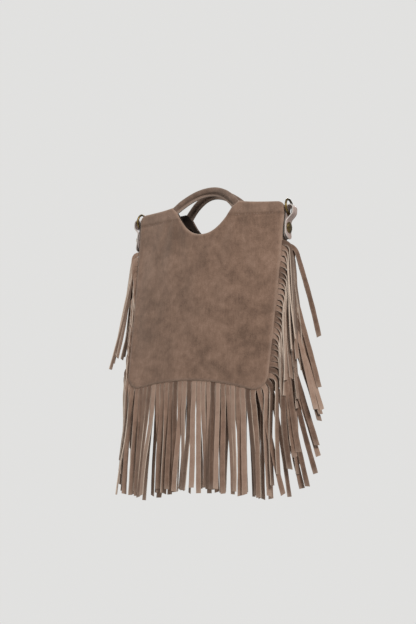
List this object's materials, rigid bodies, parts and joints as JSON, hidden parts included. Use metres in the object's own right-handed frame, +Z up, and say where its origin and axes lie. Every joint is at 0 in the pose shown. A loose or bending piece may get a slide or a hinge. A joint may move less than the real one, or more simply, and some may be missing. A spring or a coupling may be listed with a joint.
{
  "type": "fringed suede bag",
  "caption": "Small suede handbag with a hand notch below its arched grip handles, cut fringe along its side and base seams, and a metal ring on a leather tab at each side.",
  "frame": {"origin": "middle of the grip, between the highest points of the two handles", "axes": "+X to the bag's right side seen from the front, +Y from the front panel to the back panel, +Z up"},
  "size_m": [0.3234, 0.0532, 0.4394],
  "materials": {
    "suede": "brushed taupe suede with soft nap",
    "fringe_suede": "taupe suede with pale cut edges",
    "handle_suede": "taupe suede worn smoother by the hand",
    "tab_leather": "pinkish taupe leather with pale cut edges",
    "lining_cloth": "dark brown woven cloth",
    "antique_brass": "dark antique brass, brighter on its high spots"
  },
  "bodies": {
    "bag": {"front_panel": "suede", "back_panel": "suede", "gusset": "suede", "front_facing": "suede", "back_facing": "suede", "front_fringe": "fringe_suede", "back_fringe": "fringe_suede", "front_handle": "handle_suede", "back_handle": "handle_suede", "lining": "lining_cloth", "ring_tab_left": "tab_leather", "ring_tab_right": "tab_leather", "rivet_cap_left": "antique_brass", "rivet_cap_right": "antique_brass", "rivet_back_left": "antique_brass", "rivet_back_right": "antique_brass"},
    "ring_left": {"ring_left": "antique_brass"},
    "ring_right": {"ring_right": "antique_brass"}
  },
  "joints": [
    {"name": "ring_left_swing", "type": "hinge", "parent": "bag", "child": "ring_left", "pos_m": [-0.1211, 0, -0.0411], "axis": [0, -1, 0], "range_deg": [0, 150]},
    {"name": "ring_right_swing", "type": "hinge", "parent": "bag", "child": "ring_right", "pos_m": [0.1211, 0, -0.0411], "axis": [0, 1, 0], "range_deg": [0, 150]}
  ]
}
